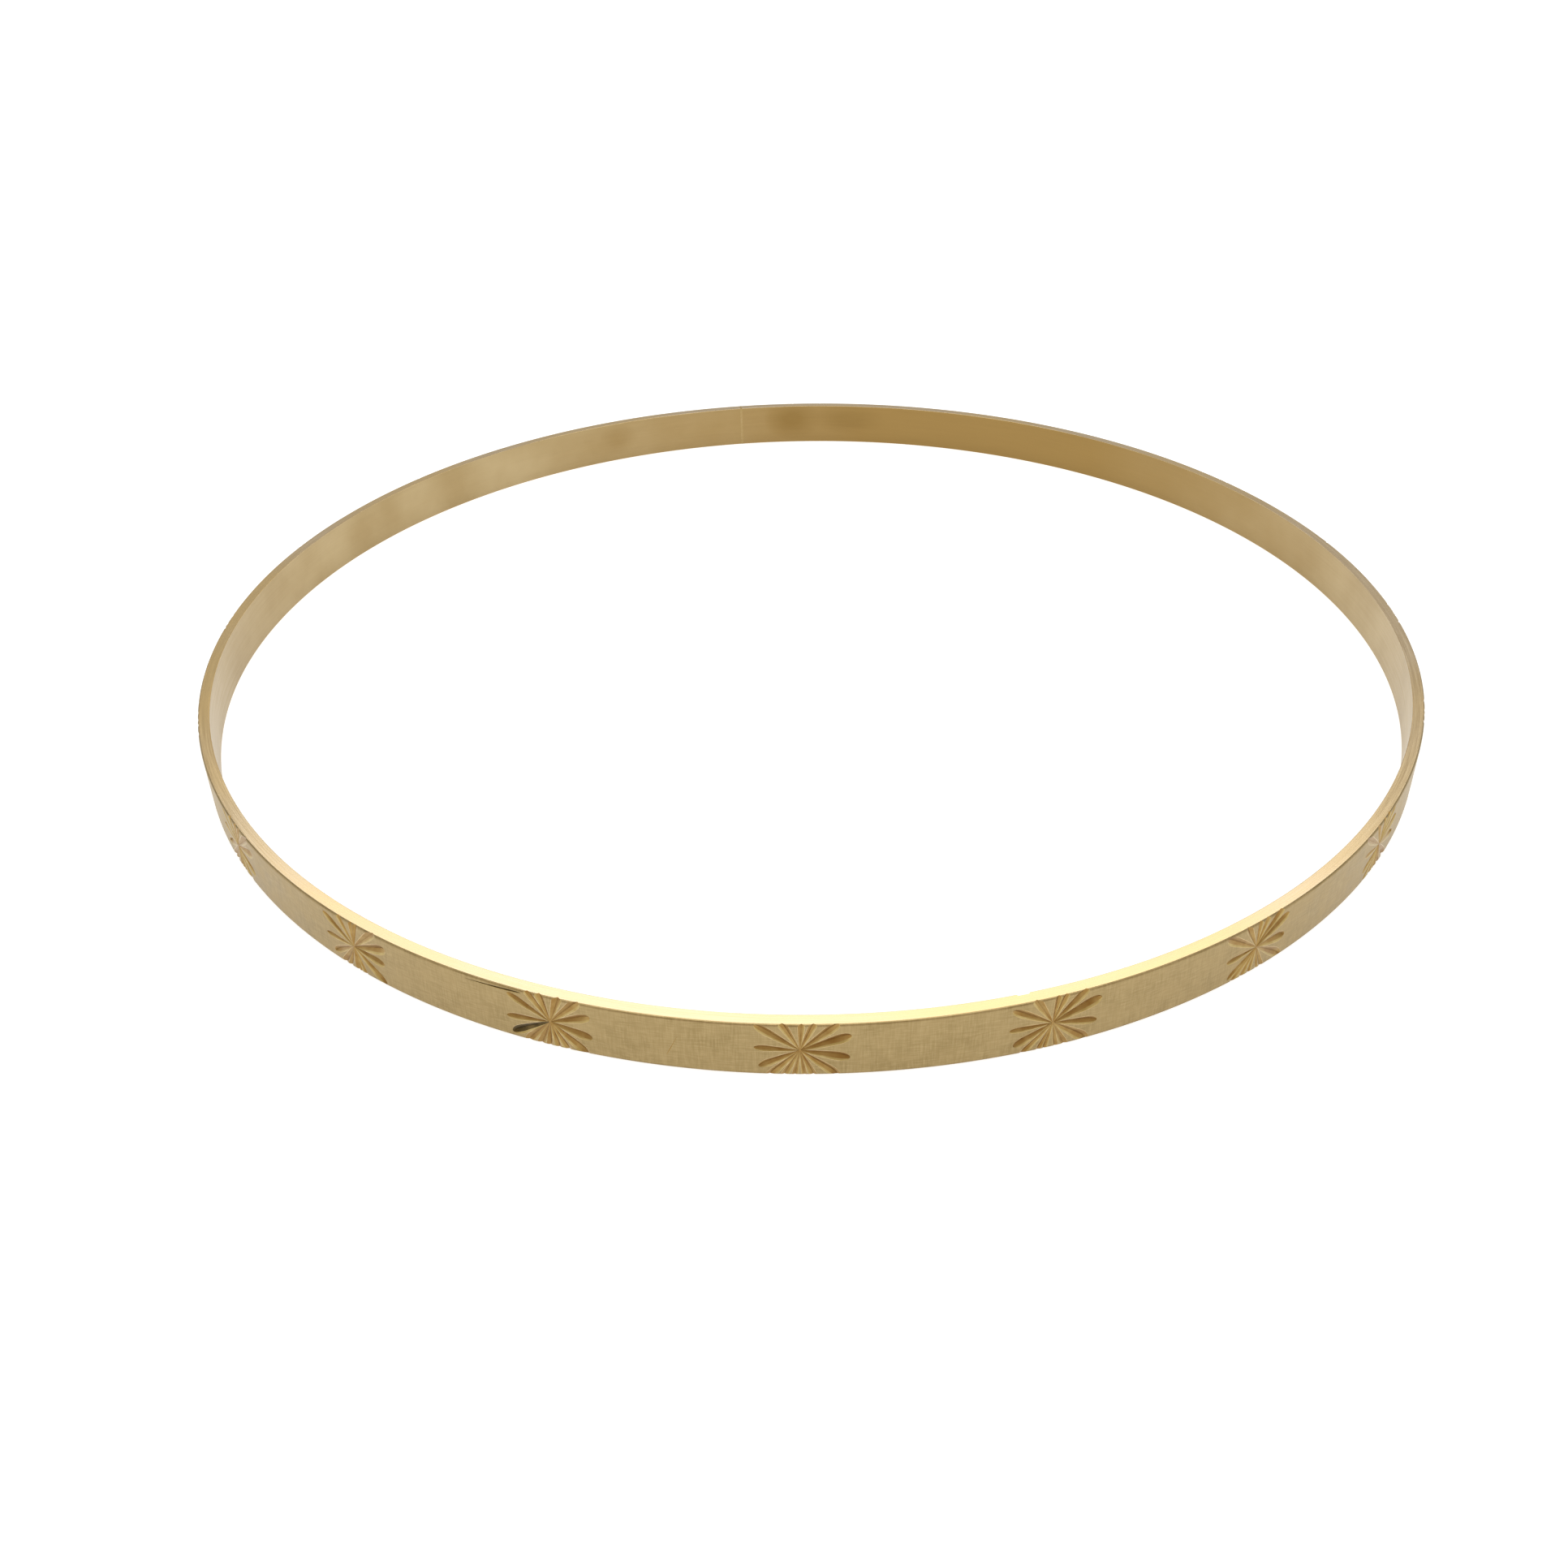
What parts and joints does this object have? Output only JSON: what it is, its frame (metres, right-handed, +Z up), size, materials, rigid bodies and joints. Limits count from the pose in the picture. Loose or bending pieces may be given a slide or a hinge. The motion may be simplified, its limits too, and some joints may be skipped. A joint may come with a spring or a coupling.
{
  "type": "bangle bracelet",
  "caption": "Rigid round slip-on bangle: a flat satin gold strip closed into a hoop by a soldered seam, with bright flat edges and a row of diamond-cut stars outside.",
  "frame": {"origin": "middle of the hoop, on the plane it rests on", "axes": "+Z up along the axis of the hoop, -Y towards the star that faces the viewer, seam at the back beside +Y"},
  "size_m": [0.068, 0.068, 0.0028],
  "materials": {
    "satin_gold": "solid yellow gold alloy: fine satin outside, bright diamond cuts, polished edges and a smooth inside",
    "gold_solder": "gold solder, filed flush and polished, a shade paler than the strip"
  },
  "bodies": {
    "root": {"band": "satin_gold", "solder_seam": "gold_solder"}
  },
  "joints": []
}
